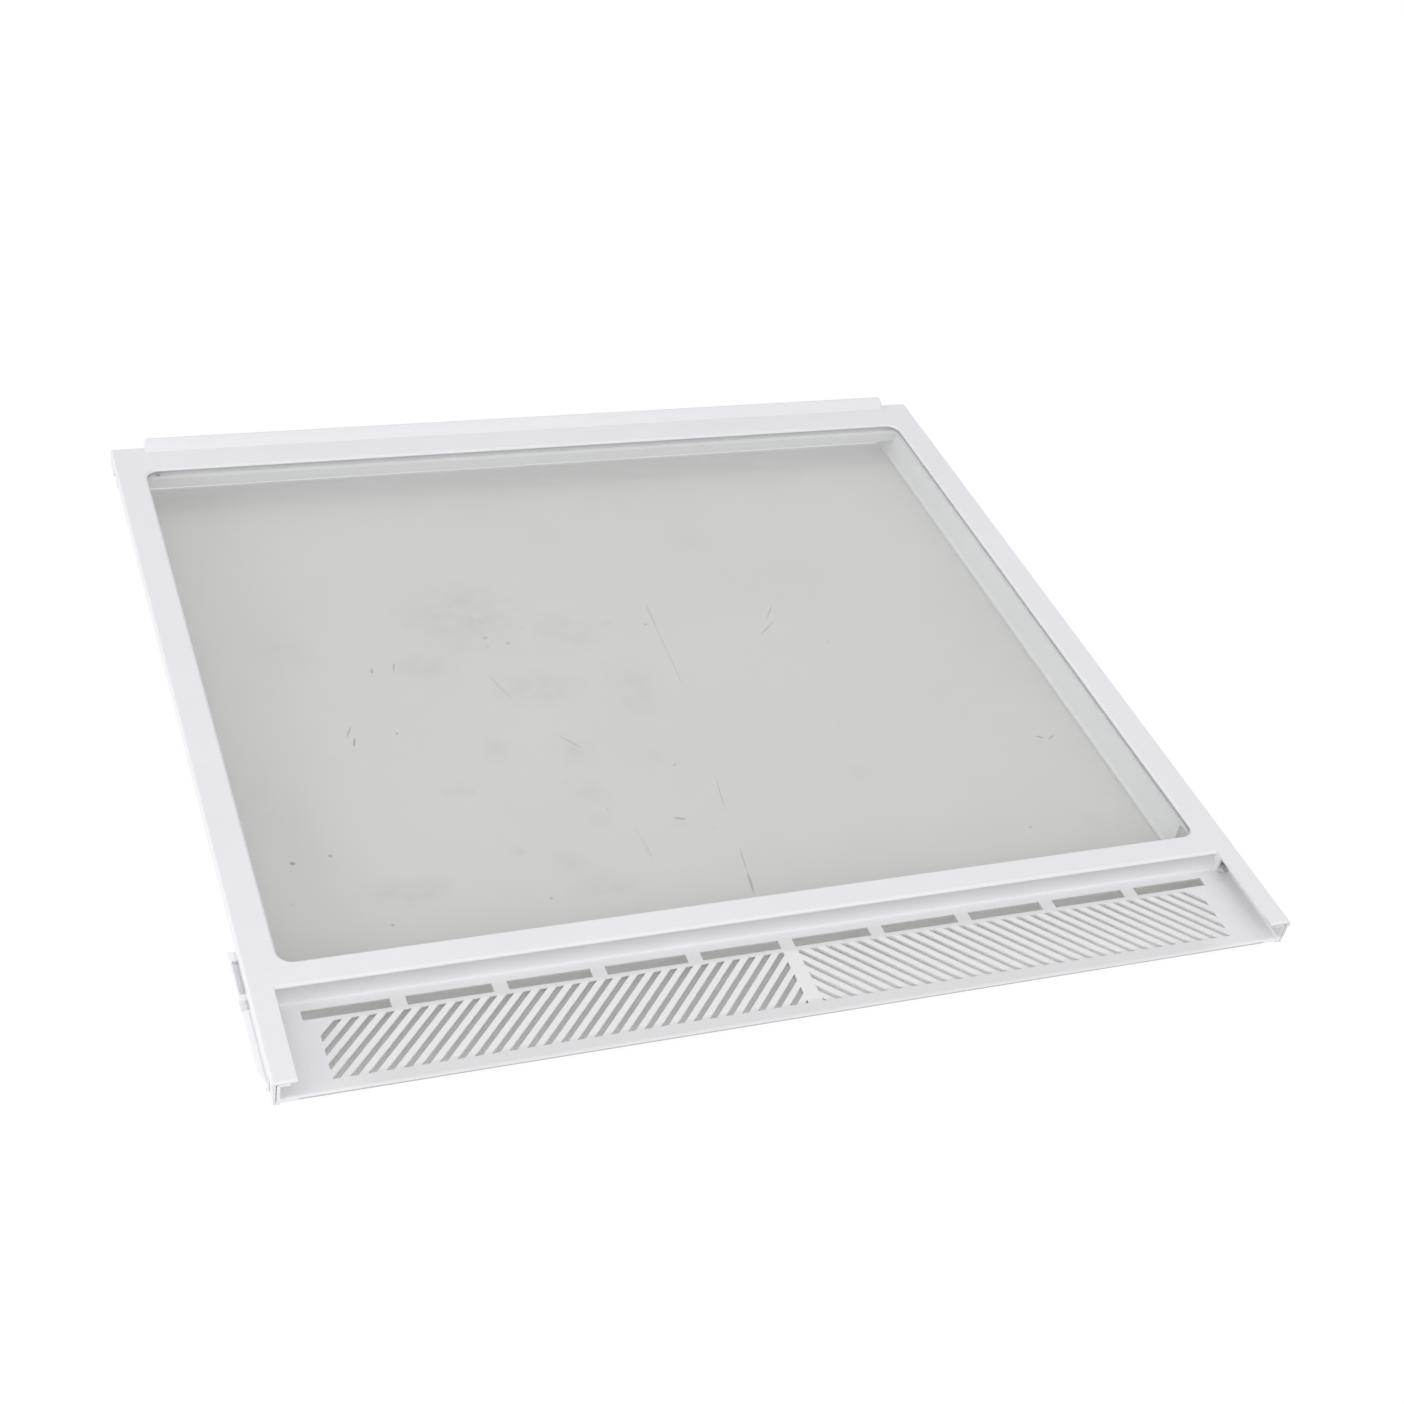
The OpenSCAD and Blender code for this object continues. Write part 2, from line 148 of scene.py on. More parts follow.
light = {
    "skyLight": 0.82,
    "skyColour": (0.99, 0.985, 1.0, 1),
    "white": (1, 1, 1, 1),                        # what the camera and the glass see of the sky
    "keyPlace": (0.1, -1.9, 1.2),                 # in front, for the walls that face the camera
    "keySize": 1.6,
    "keyPower": 12.0,
    "sidePlace": (-1.7, -0.3, 0.5),               # low on the left, for the skirt and the runner
    "sideSize": 1.0,
    "sidePower": 9.0,
}


def seenDirectly(tree, at):
    # 1 for rays from the camera, and for rays that gloss or glass sends on
    path = addNode(tree, "ShaderNodeLightPath", at).outputs
    gloss = mathStep(tree, "MAXIMUM", (at[0] + 180, at[1]), path["Is Camera Ray"], path["Is Glossy Ray"])
    return mathStep(tree, "MAXIMUM", (at[0] + 360, at[1]), gloss, path["Is Transmission Ray"])


def setSky():
    world = bpy.data.worlds.new("studioSky")
    world.use_nodes = True
    tree = world.node_tree
    tree.nodes.clear()
    seen = seenDirectly(tree, (-800, 200))
    dim = addNode(tree, "ShaderNodeBackground", (-200, 100), Color=light["skyColour"],
                  Strength=light["skyLight"])
    white = addNode(tree, "ShaderNodeBackground", (-200, -100), Color=light["white"], Strength=1.0)
    mix = mixShaders(tree, (100, 0), seen, dim.outputs[0], white.outputs[0])
    closeTree(tree, "ShaderNodeOutputWorld", (300, 0), mix)
    bpy.context.scene.world = world


def addLamp(name, place, size, power):
    # a square softbox that faces the shelf's middle
    data = bpy.data.lights.new(name, "AREA")
    data.shape = "SQUARE"
    data.size = size
    data.energy = power
    lamp = bpy.data.objects.new(name, data)
    lamp.location = place
    across, back, up = place
    tilt = math.atan2(math.hypot(across, back), up)
    lamp.rotation_euler = (tilt, 0, math.atan2(back, across) + math.pi / 2)
    bpy.context.scene.collection.objects.link(lamp)
    lamp.visible_camera = False
    lamp.visible_glossy = False


def setLamps():
    for name in ("key", "side"):
        addLamp(name + "Softbox", light[name + "Place"], light[name + "Size"], light[name + "Power"])
    print("sky and lamps set")


# finishes that several materials use, each a node group

finishValues = {
    "roughBig": 0.55,              # mottle: the two noises
    "roughSmall": 0.6,
    "smallFiner": 5.3,             # how many times finer the small one is
    "smallShare": 0.35,
    "mottleFloor": 0.42,           # the sum above this, times the gain
    "mottleGain": 2.0,
    "grainDetail": 2.0,
    "grainRough": 0.5,
    "warpScale": 9.0,              # hairlines: how they bend
    "warpDetail": 1.0,
    "warpReach": (0.01, 0.01, 0.01),
    "lineDetail": 1.0,
    "lineRough": 0.4,
    "speckEnd": 1.6,               # specks: solid to 0.6 of their radius, gone at 1.6
}


def zoneGroup():
    # a soft-sided box: per axis the depth inside its side over Fade, and the least of the three, from 0 to 1
    group, given = startGroup("zone", {"Middle": (0, 0, 0), "Half": (0.01, 0.01, 0.01),
                                       "Fade": (0.001, 0.001, 0.001)}, "Mask")
    off = vectorStep(group, "SUBTRACT", (-650, 0), given["Spot"], given["Middle"])
    off = vectorStep(group, "ABSOLUTE", (-450, 0), off)
    depth = vectorStep(group, "SUBTRACT", (-250, 0), given["Half"], off)
    share = splitAxes(group, (150, 0), vectorStep(group, "DIVIDE", (-50, 0), depth, given["Fade"]))
    least = mathStep(group, "MINIMUM", (350, 100), share[0], share[1])
    return endGroup(group, mathStep(group, "MINIMUM", (550, 0), least, share[2], clamp=True))


def mottleGroup():
    # slow unevenness of the colour: two sizes of noise added and stretched to 0..1
    group, given = startGroup("mottle", {"Scale": 12.0, "Detail": 3.0}, "Amount")
    big = addNode(group, "ShaderNodeTexNoise", (-500, 150), Roughness=finishValues["roughBig"])
    small = addNode(group, "ShaderNodeTexNoise", (-500, -150), Roughness=finishValues["roughSmall"])
    finer = mathStep(group, "MULTIPLY", (-700, -200), given["Scale"], finishValues["smallFiner"])
    feed(group, (given["Spot"], given["Scale"], given["Detail"]),
         [big.inputs[label] for label in ("Vector", "Scale", "Detail")])
    feed(group, (given["Spot"], finer), (small.inputs["Vector"], small.inputs["Scale"]))
    both = mathStep(group, "MULTIPLY_ADD", (-200, 0), small.outputs[0], finishValues["smallShare"],
                    big.outputs[0])
    level = mathStep(group, "SUBTRACT", (0, 0), both, finishValues["mottleFloor"])
    level = mathStep(group, "MULTIPLY", (200, 0), level, finishValues["mottleGain"], clamp=True)
    return endGroup(group, level)


def grainGroup():
    # fine even grain of a moulded surface, for a Bump node's height
    group, given = startGroup("mouldGrain", {"Scale": 900.0}, "Height")
    fine = addNode(group, "ShaderNodeTexNoise", (-400, 0), Detail=finishValues["grainDetail"],
                   Roughness=finishValues["grainRough"])
    feed(group, (given["Spot"], given["Scale"]), (fine.inputs["Vector"], fine.inputs["Scale"]))
    return endGroup(group, fine.outputs[0])


def hairlineGroup():
    # scattered long fine scratches: noise stretched one way, kept only where it peaks
    group, given = startGroup("hairlines", {"Stretch": (40, 900, 40), "Rarity": 0.72, "Softness": 0.03},
                              "Mask")
    warp = addNode(group, "ShaderNodeTexNoise", (-700, -200), Scale=finishValues["warpScale"],
                   Detail=finishValues["warpDetail"])
    group.links.new(given["Spot"], warp.inputs["Vector"])
    moved = vectorStep(group, "MULTIPLY_ADD", (-400, 0), warp.outputs["Color"], finishValues["warpReach"],
                       given["Spot"])
    pulled = vectorStep(group, "MULTIPLY", (-200, 0), moved, given["Stretch"])
    lines = addNode(group, "ShaderNodeTexNoise", (0, 0), Scale=1.0, Detail=finishValues["lineDetail"],
                    Roughness=finishValues["lineRough"])
    group.links.new(pulled, lines.inputs["Vector"])
    over = mathStep(group, "SUBTRACT", (200, 0), lines.outputs[0], given["Rarity"])
    return endGroup(group, mathStep(group, "DIVIDE", (400, 0), over, given["Softness"], clamp=True))


def rimGroup():
    # how far a rounded normal leans away from the flat one: 0 on flat faces, 1 along edges
    group, given = startGroup("rims", {"Flat": (0, 0, 0), "Gain": 6.0}, "Mask", first="Round")
    same = vectorStep(group, "DOT_PRODUCT", (-400, 0), given["Round"], given["Flat"])
    lean = mathStep(group, "SUBTRACT", (-150, 0), 1.0, same)
    return endGroup(group, mathStep(group, "MULTIPLY", (100, 0), lean, given["Gain"], clamp=True))


def blotGroup():
    # one soft mark: full in the middle of an ellipsoid, none outside it, Edge times as steep as a cone
    group, given = startGroup("blot", {"Place": (0, 0, 0), "Turn": (0, 0, 0), "Reach": (0.001, 0.001, 0.001),
                                       "Edge": 2.0, "Tone": 1.0}, "Mask")
    here = addNode(group, "ShaderNodeMapping", (-500, 0))
    here.vector_type = "TEXTURE"    # moves, turns and stretches the mark itself
    feed(group, (given["Spot"], given["Place"], given["Turn"], given["Reach"]),
         [here.inputs[label] for label in ("Vector", "Location", "Rotation", "Scale")])
    ball = addNode(group, "ShaderNodeTexGradient", (-250, 0))
    ball.gradient_type = "SPHERICAL"
    group.links.new(here.outputs[0], ball.inputs[0])
    steep = mathStep(group, "MULTIPLY", (0, 0), ball.outputs["Fac"], given["Edge"], clamp=True)
    return endGroup(group, mathStep(group, "MULTIPLY", (250, 0), steep, given["Tone"]))


def speckGroup():
    # scattered round specks: the distance to the nearest random point, kept where that point is a chosen one
    group, given = startGroup("specks", {"Scale": 60.0, "Radius": 0.03, "Share": 0.25}, "Mask")
    cells = addNode(group, "ShaderNodeTexVoronoi", (-500, 0))
    feed(group, (given["Spot"], given["Scale"]), (cells.inputs["Vector"], cells.inputs["Scale"]))
    near = mathStep(group, "DIVIDE", (-250, 100), cells.outputs["Distance"], given["Radius"])
    near = mathStep(group, "SUBTRACT", (-50, 100), finishValues["speckEnd"], near, clamp=True)
    draw = splitAxes(group, (-250, -150), cells.outputs["Color"])
    chosen = mathStep(group, "LESS_THAN", (-50, -150), draw[0], given["Share"])
    tone = mathStep(group, "MULTIPLY", (150, -150), chosen, draw[1])
    return endGroup(group, mathStep(group, "MULTIPLY", (350, 0), near, tone))


# table top

table = {
    "halfSize": 6.0,                           # metres
    "drop": 0.0001,                            # how far the top lies under the shelf's feet
    # painted shade: the table is grey only under the shelf, lighter under the grille, and painted lighter at
    # the rear wall's foot to lift its shadow
    "shadeUnderGlass": (0.672, 0.672, 0.66, 1),     # the grey that shows through the glass
    "shadeUnderGrille": (0.86, 0.86, 0.84, 1),      # the paler one seen through the slots
    "lightAtRearFoot": (0.89, 0.89, 0.88, 1),        # paler at the foot of the rear wall
    "open": (0.90, 0.90, 0.90, 1),             # away from the shelf
    "left": -0.2315,                           # the greys end under the frame's edges, seen from the camera
    "right": 0.250,
    "front": -0.2115,
    "rear": 0.222,
    "grilleEnd": -0.165,
    "rearStart": 0.203,
    "rearFade": 0.014,
    "fade": 0.002,
    "shadePlace": (0.2433, -0.1673, 0.0),      # the floor seen past the right return's end is darker
    "shadeReach": (0.012, 0.010, 0.01),
    "shadeFade": (0.003, 0.003, 0.001),
    "shade": (0.62, 0.62, 0.63, 1),
    "whiteShare": 0.92,                        # how much of the open table is plain white to the camera
    "whiteLevel": 1.03,
}


def pastSpan(tree, at, value, low, high):
    # how far a value lies outside low..high
    off = mathStep(tree, "SUBTRACT", at, value, (low + high) / 2)
    off = mathStep(tree, "ABSOLUTE", (at[0] + 160, at[1]), off)
    return mathStep(tree, "SUBTRACT", (at[0] + 320, at[1]), off, (high - low) / 2)


def rampFrom(tree, at, value, start, length):
    # 0 up to the start, then rising to 1 over the length
    past = mathStep(tree, "SUBTRACT", at, value, start)
    return mathStep(tree, "DIVIDE", (at[0] + 160, at[1]), past, length, clamp=True)


def buildTable(zone):
    half = table["halfSize"]
    corners = [(x * half, y * half, -table["drop"]) for x, y in ((-1, -1), (1, -1), (1, 1), (-1, 1))]
    mesh = bpy.data.meshes.new("tableTop")
    mesh.from_pydata(corners, [], [(0, 1, 2, 3)])
    top = bpy.data.objects.new("tableTop", mesh)
    bpy.context.scene.collection.objects.link(top)
    material, tree = newMaterial("paleTable")
    place = addNode(tree, "ShaderNodeTexCoord", (-1400, 0)).outputs["Object"]
    x, y = splitAxes(tree, (-1200, 0), place)[:2]
    # the grey patch is painted shade under the shelf, deepened past the right return's end
    wide = pastSpan(tree, (-1000, 100), x, table["left"], table["right"])
    deep = pastSpan(tree, (-1000, -100), y, table["front"], table["rear"])
    past = mathStep(tree, "MAXIMUM", (-520, 0), wide, deep)    # distance outside the grey patch
    clear = mathStep(tree, "DIVIDE", (-360, 0), past, table["fade"], clamp=True)
    behind = rampFrom(tree, (-840, 300), y, table["grilleEnd"], table["fade"])
    patch = blendColours(tree, (-500, 300), behind, table["shadeUnderGrille"], table["shadeUnderGlass"])
    farBack = rampFrom(tree, (-840, 500), y, table["rearStart"], table["rearFade"])
    patch = blendColours(tree, (-400, 400), farBack, patch, table["lightAtRearFoot"])
    corner = placeGroup(tree, zone, (-700, 700), place, Middle=table["shadePlace"], Half=table["shadeReach"],
                        Fade=table["shadeFade"])
    patch = blendColours(tree, (-200, 500), corner, patch, table["shade"])
    colour = blendColours(tree, (-300, 100), clear, patch, table["open"])
    share = mathStep(tree, "MULTIPLY", (-300, -200), seenDirectly(tree, (-1000, -300)), clear)
    share = mathStep(tree, "MULTIPLY", (-150, -200), share, table["whiteShare"])
    cloth = addNode(tree, "ShaderNodeBsdfDiffuse", (0, 100))
    tree.links.new(colour, cloth.inputs["Color"])
    glow = addNode(tree, "ShaderNodeEmission", (0, -100), Color=light["white"], Strength=table["whiteLevel"])
    mix = mixShaders(tree, (200, 0), share, cloth.outputs[0], glow.outputs[0])
    closeTree(tree, "ShaderNodeOutputMaterial", (400, 0), mix)
    mesh.materials.append(material)
    print("table top laid")


# white mouldings

crisp = (0.0004, 0.0004, 0.0004)          # a zone's soft side where it ends at an edge
# painted shade on the right arm's cheek, where both mouldings show
cheekPaintedShade = ((0.2355, -0.229, 0.0205), (0.009, 0.009, 0.0047), (0.0004, 0.005, 0.0004),
             (0.60, 0.60, 0.62, 1))


# painted light: the runner's top and sides lighter than the rest of the moulding
def runnerPaintedLight(side):
    return ((side * 0.2420, -0.1900, 0.0170), (0.0042, 0.0500, 0.0060), (0.0003, 0.004, 0.0003),
            (0.93, 0.93, 0.95, 1))


upperLook = {
    "colour": (0.805, 0.80, 0.835, 1),
    "hazeColour": (0.78, 0.78, 0.805, 1),
    "mottleScale": 9.0,
    "dustScale": 60.0,
    "dustDetail": 6.0,
    "dustShare": 0.10,
    "dustColour": (0.66, 0.66, 0.67, 1),
    "scuffStretch": (30, 700, 60),
    "scuffRarity": 0.70,
    "scuffShare": 0.05,
    "scuffColour": (0.60, 0.60, 0.62, 1),
    "scuffRough": 0.25,
    "grainScale": 1100.0,
    "grainDepth": 0.12,
    "grainHeight": 0.0002,
    "rough": 0.36,
    "roughSpread": 0.10,
    "bend": 1.49,                         # the plastic's index of refraction
    "rimRadius": 0.0007,
    "rimSamples": 4,
    "rimGain": 6.0,
    # painted highlight along the edges: how much, and its colour
    "rimHighlightShare": 0.85,
    "rimHighlightColour": (0.93, 0.93, 0.95, 1),
    # painted light and shade: each zone below paints a lighter or darker colour over that part
    "paintedShadingZones": [    # middle, half size and soft side in metres, then the colour there
        cheekPaintedShade,
        # painted shade on the left arm's end
        ((-0.232, -0.230, 0.018), (0.012, 0.0022, 0.0068), crisp, (0.73, 0.73, 0.745, 1)),    # left arm's end
    ],
}
lowerLook = upperLook | {
    "colour": (0.80, 0.80, 0.825, 1),
    "hazeColour": (0.785, 0.79, 0.81, 1),
    "mottleScale": 11.0,
    "dustScale": 45.0,
    "dustShare": 0.14,
    "dustColour": (0.62, 0.62, 0.61, 1),
    "scuffStretch": (500, 40, 60),
    "scuffShare": 0.10,
    "scuffColour": (0.58, 0.58, 0.58, 1),
    "rough": 0.38,
    "roughSpread": 0.12,
    "rimRadius": 0.0006,
    # painted highlight along the edges
    "rimHighlightShare": 0.8,
    "rimHighlightColour": (0.92, 0.92, 0.92, 1),
    "paintedShadingZones": [
        # painted shade on the grille's upper side, less of it in its middle
        ((0.0, -0.2085, 0.0155), (0.212, 0.0275, 0.001), (0.02, 0.006, 0.0003), (0.69, 0.69, 0.695, 1)),
        ((0.0, -0.2065, 0.0155), (0.212, 0.0160, 0.001), (0.01, 0.002, 0.0003), (0.78, 0.78, 0.78, 1)),
        cheekPaintedShade,
        # painted shade on the inner faces of the left and right slanted openings, paler on the right, then of
        # the slots
        ((-0.1130, -0.2088, 0.0136), (0.1130, 0.0188, 0.0014), crisp, (0.50, 0.495, 0.475, 1)),
        ((0.1130, -0.2088, 0.0136), (0.1130, 0.0188, 0.0014), crisp, (0.67, 0.67, 0.66, 1)),
        ((0.0, -0.1855, 0.0136), (0.2265, 0.0045, 0.0014), crisp, (0.50, 0.49, 0.455, 1)),
        # painted shade on the plate's front edge
        ((0.0, -0.2295, 0.0137), (0.2265, 0.0013, 0.0008), (0.0004, 0.0004, 0.0003), (0.47, 0.47, 0.47, 1)),
        # painted light on the runners
        runnerPaintedLight(-1),    # the left runner, then the right one
        runnerPaintedLight(1),
        # painted shade on the wall behind the grille, darker towards its top
        ((0.0, -0.1785, 0.0300), (0.2265, 0.0022, 0.0142), (0.0004, 0.0004, 0.009), (0.505, 0.51, 0.53, 1)),
        # painted shade on the rear wall under the glass
        ((0.0, 0.2049, 0.0149), (0.2235, 0.0012, 0.0034), crisp, (0.665, 0.675, 0.69, 1)),
    ],
}


def makeMoulding(name, look, finishes):
    material, tree = newMaterial(name)
    place = addNode(tree, "ShaderNodeTexCoord", (-1500, 0)).outputs["Object"]
    haze = placeGroup(tree, finishes["mottle"], (-1100, 300), place, Scale=look["mottleScale"])
    dust = placeGroup(tree, finishes["mottle"], (-1100, 100), place, Scale=look["dustScale"],
                      Detail=look["dustDetail"])
    scuffs = placeGroup(tree, finishes["hairlines"], (-1100, -100), place, Stretch=look["scuffStretch"],
                        Rarity=look["scuffRarity"])
    tooth = placeGroup(tree, finishes["grain"], (-1100, -350), place, Scale=look["grainScale"])
    colour = blendColours(tree, (-700, 300), haze, look["colour"], look["hazeColour"])
    dusty = mathStep(tree, "MULTIPLY", (-850, 100), dust, look["dustShare"])
    colour = blendColours(tree, (-500, 300), dusty, colour, look["dustColour"])
    rubbed = mathStep(tree, "MULTIPLY", (-850, -100), scuffs, look["scuffShare"])
    colour = blendColours(tree, (-300, 300), rubbed, colour, look["scuffColour"])
    # each zone paints its colour over the surface, as painted light or shade
    for number, (middle, half, fade, tint) in enumerate(look["paintedShadingZones"]):
        height = 550 + 220 * number
        patch = placeGroup(tree, finishes["zone"], (-1100, height), place, Middle=middle, Half=half,
                           Fade=fade)
        colour = blendColours(tree, (-100, height), patch, colour, tint)
    rounded = addNode(tree, "ShaderNodeBevel", (-1100, -600), Radius=look["rimRadius"])
    rounded.samples = look["rimSamples"]
    flat = addNode(tree, "ShaderNodeNewGeometry", (-1100, -750)).outputs["Normal"]
    rim = placeGroup(tree, finishes["rims"], (-850, -600), rounded.outputs[0], Gain=look["rimGain"])
    tree.links.new(flat, rim.node.inputs["Flat"])
    # painted highlight: the colour turns lighter along edges, by how far the rounded normal leans
    rimHighlight = mathStep(tree, "MULTIPLY", (-600, -600), rim, look["rimHighlightShare"])
    colour = blendColours(tree, (-150, 300), rimHighlight, colour, look["rimHighlightColour"])
    rough = mathStep(tree, "MULTIPLY_ADD", (-500, 50), haze, look["roughSpread"], look["rough"])
    rough = mathStep(tree, "MULTIPLY_ADD", (-300, 50), rubbed, look["scuffRough"], rough)
    bump = addNode(tree, "ShaderNodeBump", (-300, -300), Strength=look["grainDepth"],
                   Distance=look["grainHeight"])
    feed(tree, (rounded.outputs[0], tooth), (bump.inputs["Normal"], bump.inputs["Height"]))
    plastic = addNode(tree, "ShaderNodeBsdfPrincipled", (0, 0), IOR=look["bend"])
    feed(tree, (colour, rough, bump.outputs[0]),
         [plastic.inputs[label] for label in ("Base Color", "Roughness", "Normal")])
    closeTree(tree, "ShaderNodeOutputMaterial", (300, 0), plastic.outputs[0])
    return material


# glass pane

glassLook = {
    "tint": (0.935, 0.937, 0.926, 1),
    "smearTint": (0.91, 0.908, 0.888, 1),
    "smearScale": 9.0,
    "smearDetail": 4.0,
    "markTint": (0.33, 0.33, 0.32, 1),
    "brownTint": (0.71, 0.68, 0.56, 1),
    "smudgeTint": (0.80, 0.79, 0.77, 1),
    "blotchScale": 120.0,                     # breaks up the stains and smudges
    "blotchDetail": 5.0,
    "passTint": (0.95, 0.96, 0.955, 1),       # what one face lets through for lamp light
    "clearShare": 0.96,
    "rough": 0.02,
    "roughSpread": 0.06,
    "bend": 1.5,
    "markDeep": 0.0015,                       # marks lie on the top face only
    "perLength": 1900.0,                      # a mark's length and width in mm over these give its reach in
    "perWidth": 1700.0,                       # metres, a little over half, because a mark fades at its ends
    "scratchEdge": 3.0,                       # how steeply each kind of mark sets in
    "dotEdge": 3.2,
    "stainEdge": 1.2,
    "smudgeEdge": 1.6,
    "waverScale": 260.0,
    "waverDetail": 2.0,
    "waver": (0.0009, 0.0009, 0),
    "noiseMiddle": (0.5, 0.5, 0.5),           # a noise's mean, so that marks are pushed both ways
    "speckScale": 85.0,
    "speckRadius": 0.05,
    "speckShare": 0.30,
    "speckTone": 0.42,
}
# marks that the photo shows: x, y, turn, length, width in mm and degrees, then how strong
scratches = [
    (-161, -30, -104, 7.0, 1.2, 0.85),       # the pair left of the middle
    (-162, -22, -115, 9.5, 0.9, 0.6),
    (-141, 21.5, -103, 4.5, 1.3, 0.8),
    (-130, 22.5, -104, 7.0, 0.9, 0.6),
    (10, 10, -92, 58.0, 0.8, 0.21),          # the long one near the middle
    (11.5, 45, -93, 24.0, 0.9, 0.36),
    (-60, -46, -52, 15.0, 0.9, 0.50),
    (-82, -1, -72, 23.0, 0.8, 0.35),
    (-25, -108, -20, 6.0, 1.3, 0.9),
    (-7, -155, -98, 16.0, 1.3, 0.7),
    (-5, -140, -98, 17.0, 0.9, 0.4),
    (0, -95, -98, 22.0, 0.9, 0.35),
    (70, 26, 42, 18.0, 1.0, 0.45),
    (76, 39, 58, 13.0, 0.8, 0.45),
    (178, -82, -35, 4.5, 1.2, 0.8),
    (184, -83, 27, 6.0, 1.2, 0.6),
]
dots = [
    (-216, 203.5, 0, 2.4, 2.4, 1.6),         # the black one in the rear left corner
    (-205, -106, 20, 2.6, 2.2, 1.0),
    (-188, -104, 0, 2.0, 1.8, 0.7),
    (-140, -27, 0, 1.6, 1.6, 0.6),
    (-171, -151, 0, 1.6, 1.6, 0.6),
    (-99, -148, 40, 1.7, 1.4, 0.6),
    (-79, 39, 0, 3.0, 2.6, 0.35),
    (-69, 33, 0, 3.0, 2.6, 0.35),
    (6, 38, 0, 1.6, 1.6, 0.6),
    (-15, -71, 0, 1.6, 1.6, 0.5),
    (142, -144, 0, 1.5, 1.5, 0.5),
    (98, 9, 0, 1.4, 1.4, 0.5),
]
stains = [
    (-105, -116, 0, 9, 7, 0.8),              # brownish, with soft rims
    (-47, -122, -87, 26, 2.4, 0.9),
    (74, -93, 20, 22, 17, 0.35),
    (-121, -72, 0, 19, 12, 0.65),
    (-97, -46, 0, 18, 22, 0.5),
    (-59, -53, 0, 26, 26, 0.5),
    (-61, -84, 0, 22, 20, 0.5),
    (-62, -102, 0, 18, 12, 0.45),
    (-84, -126, 0, 24, 24, 0.4),
    (-73, -144, 0, 40, 20, 0.5),
    (-14, 42, 0, 7, 6, 0.5),
    (-24, 120, 0, 30, 24, 0.25),
    (55, 108, 0, 34, 28, 0.22),
    (-11, -83, 0, 24, 18, 0.25),
    (177, -144, 0, 16, 13, 0.3),
]
smudges = [
    (-87, 59, 0, 76, 60, 1.0),               # grey clouds
    # the long one darkens the pane along its left edge, beside the frame
    (-206, -73, -75, 130, 30, 0.45),
    (-159, -132, 0, 50, 20, 0.9),
    (-37, 39, 0, 44, 36, 0.8),
    (-180, 43, 0, 40, 46, 0.6),
    (-115, 21, 0, 44, 22, 0.9),
    (-64, -4, 0, 54, 30, 0.9),
    (-16, -12, 0, 36, 50, 0.8),
    (-20, -60, 0, 40, 30, 0.5),
    (90, 60, 0, 90, 60, 0.4),
]


def waveringSpot(tree, place):
    # Object coordinates pushed a little by noise, so that marks waver
    noise = addNode(tree, "ShaderNodeTexNoise", (-2800, -600), Scale=glassLook["waverScale"],
                    Detail=glassLook["waverDetail"])
    tree.links.new(place, noise.inputs["Vector"])
    centred = vectorStep(tree, "SUBTRACT", (-2600, -600), noise.outputs["Color"],
                         glassLook["noiseMiddle"])
    return vectorStep(tree, "MULTIPLY_ADD", (-2400, -600), centred, glassLook["waver"], place)


def layMarks(tree, blot, spot, column, marks, edge):
    # the strongest of a list of marks, on the pane's top face
    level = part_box("glass_pane")[1][2]
    total = None
    for number, (x, y, turn, length, width, tone) in enumerate(marks):
        down = 200 - 160 * number
        reach = (length / glassLook["perLength"], width / glassLook["perWidth"], glassLook["markDeep"])
        mark = placeGroup(tree, blot, (column, down), spot, Place=(x / 1000, y / 1000, level),
                          Turn=(0, 0, math.radians(turn)), Reach=reach, Edge=edge, Tone=tone)
        total = mark if total is None else mathStep(tree, "MAXIMUM", (column + 250, down), total, mark)
    return total


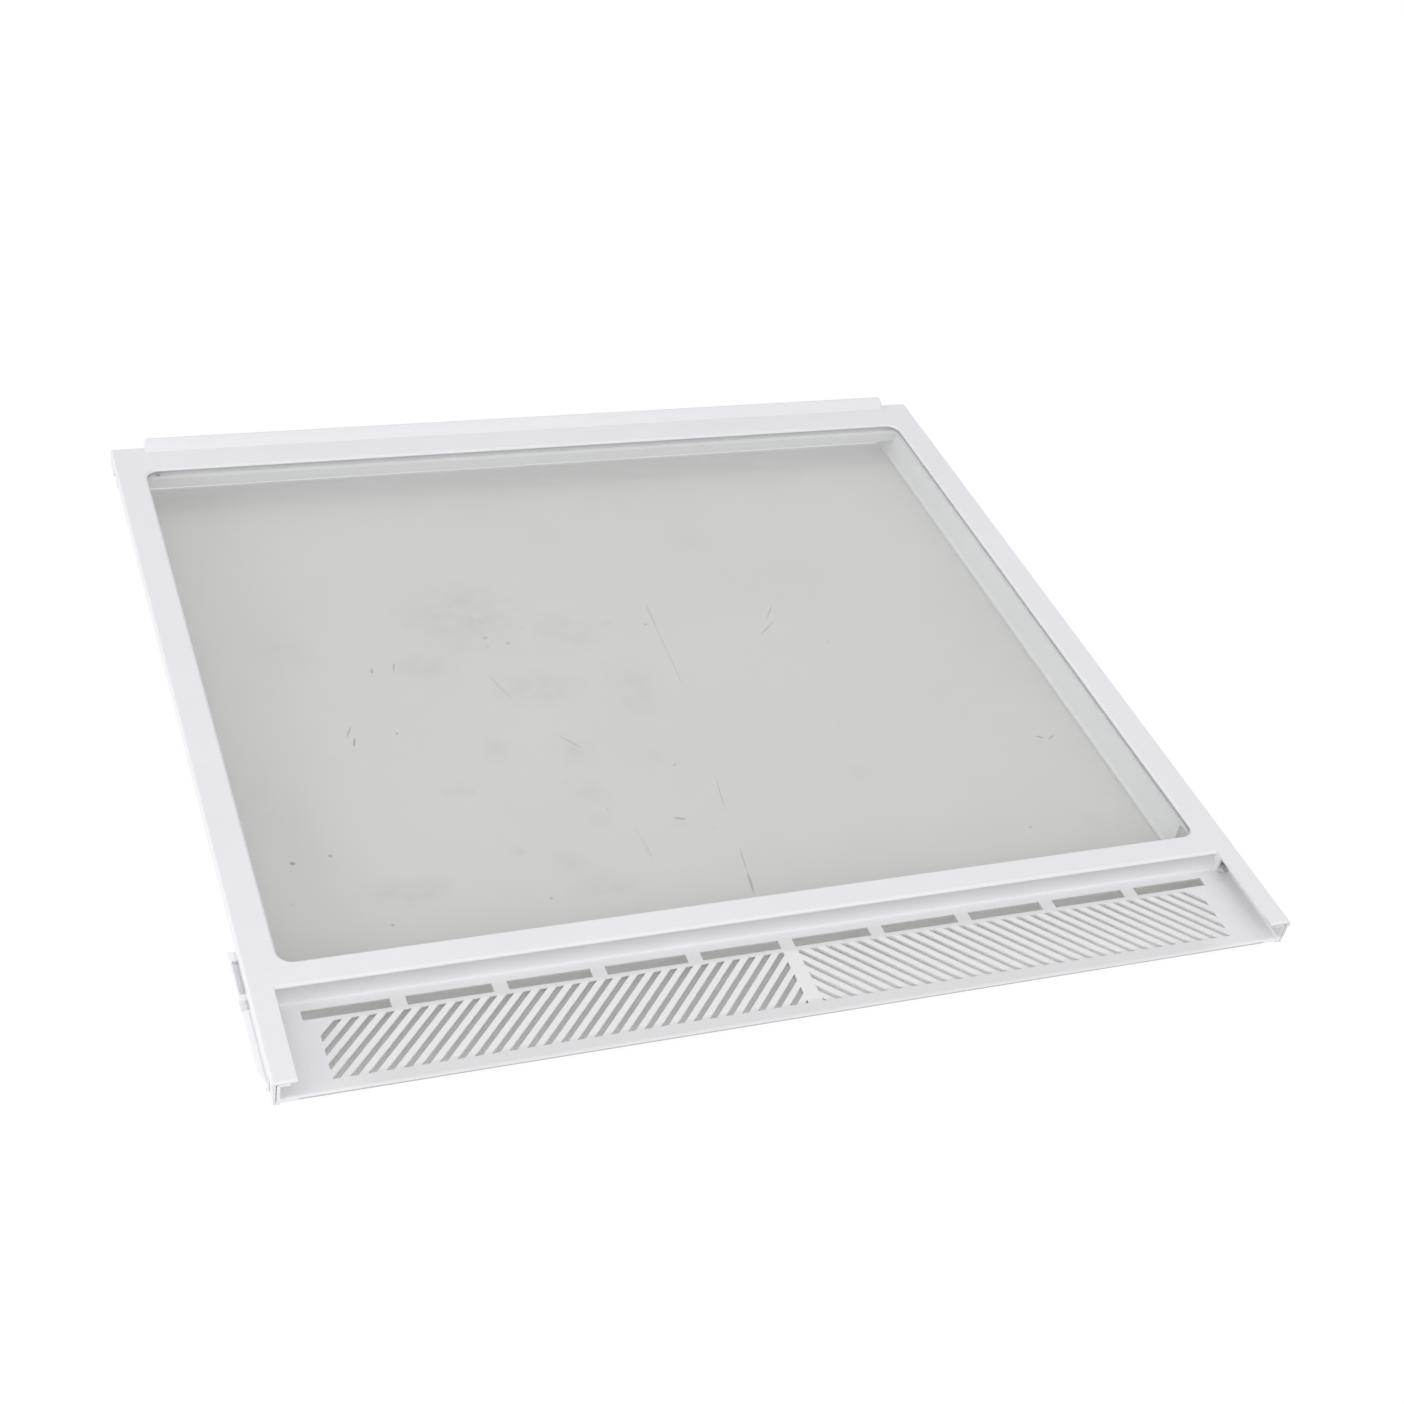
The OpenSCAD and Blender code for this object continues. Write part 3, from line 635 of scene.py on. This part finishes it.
def makeGlass(finishes):
    material, tree = newMaterial("scratchedGlass")
    place = addNode(tree, "ShaderNodeTexCoord", (-3000, 0)).outputs["Object"]
    wavering = waveringSpot(tree, place)
    smear = placeGroup(tree, finishes["mottle"], (-1300, 600), place, Scale=glassLook["smearScale"],
                       Detail=glassLook["smearDetail"])
    blotch = placeGroup(tree, finishes["mottle"], (-1300, 800), place, Scale=glassLook["blotchScale"],
                        Detail=glassLook["blotchDetail"])
    specks = placeGroup(tree, finishes["specks"], (-1300, 400), wavering, Scale=glassLook["speckScale"],
                        Radius=glassLook["speckRadius"], Share=glassLook["speckShare"])
    specks = mathStep(tree, "MULTIPLY", (-1050, 400), specks, glassLook["speckTone"])
    blot = finishes["blot"]
    cut = layMarks(tree, blot, wavering, -2100, scratches, glassLook["scratchEdge"])
    dirt = layMarks(tree, blot, wavering, -1700, dots, glassLook["dotEdge"])
    brown = layMarks(tree, blot, wavering, -1300, stains, glassLook["stainEdge"])
    clouds = layMarks(tree, blot, wavering, -2500, smudges, glassLook["smudgeEdge"])
    dark = mathStep(tree, "MAXIMUM", (-950, 0), cut, dirt)
    dark = mathStep(tree, "MAXIMUM", (-800, 0), dark, specks, clamp=True)
    colour = blendColours(tree, (-700, 300), smear, glassLook["tint"], glassLook["smearTint"])
    smudged = mathStep(tree, "MULTIPLY", (-850, 600), clouds, blotch)
    colour = blendColours(tree, (-620, 400), smudged, colour, glassLook["smudgeTint"])
    stained = mathStep(tree, "MULTIPLY", (-700, 100), brown, blotch)
    colour = blendColours(tree, (-550, 300), stained, colour, glassLook["brownTint"])
    colour = blendColours(tree, (-400, 300), dark, colour, glassLook["markTint"])
    rough = mathStep(tree, "MULTIPLY_ADD", (-500, 0), smear, glassLook["roughSpread"], glassLook["rough"])
    pane = addNode(tree, "ShaderNodeBsdfPrincipled", (0, 100), IOR=glassLook["bend"],
                   Transmission_Weight=glassLook["clearShare"])
    feed(tree, (colour, rough), (pane.inputs["Base Color"], pane.inputs["Roughness"]))
    through = addNode(tree, "ShaderNodeBsdfTransparent", (0, -300), Color=glassLook["passTint"])
    path = addNode(tree, "ShaderNodeLightPath", (-300, -400)).outputs
    lamp = mathStep(tree, "MAXIMUM", (-100, -400), path["Is Shadow Ray"], path["Is Diffuse Ray"])
    mix = mixShaders(tree, (300, 0), lamp, pane.outputs[0], through.outputs[0])
    closeTree(tree, "ShaderNodeOutputMaterial", (500, 0), mix)
    return material


def dress(nodeName, material):
    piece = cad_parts[nodeName]
    for slot in piece.material_slots:
        slot.material = material
    if not piece.material_slots:
        piece.data.materials.append(material)
    print(nodeName, "dressed in", material.name)


setCamera()
setSky()
setLamps()
finishes = {
    "zone": zoneGroup(),
    "mottle": mottleGroup(),
    "grain": grainGroup(),
    "hairlines": hairlineGroup(),
    "rims": rimGroup(),
    "blot": blotGroup(),
    "specks": speckGroup(),
}
buildTable(finishes["zone"])
dress("upper_frame", makeMoulding("satinUpperMoulding", upperLook, finishes))
dress("lower_frame", makeMoulding("satinLowerMoulding", lowerLook, finishes))
dress("glass_pane", makeGlass(finishes))

bpy.context.scene.view_settings.view_transform = "Standard"
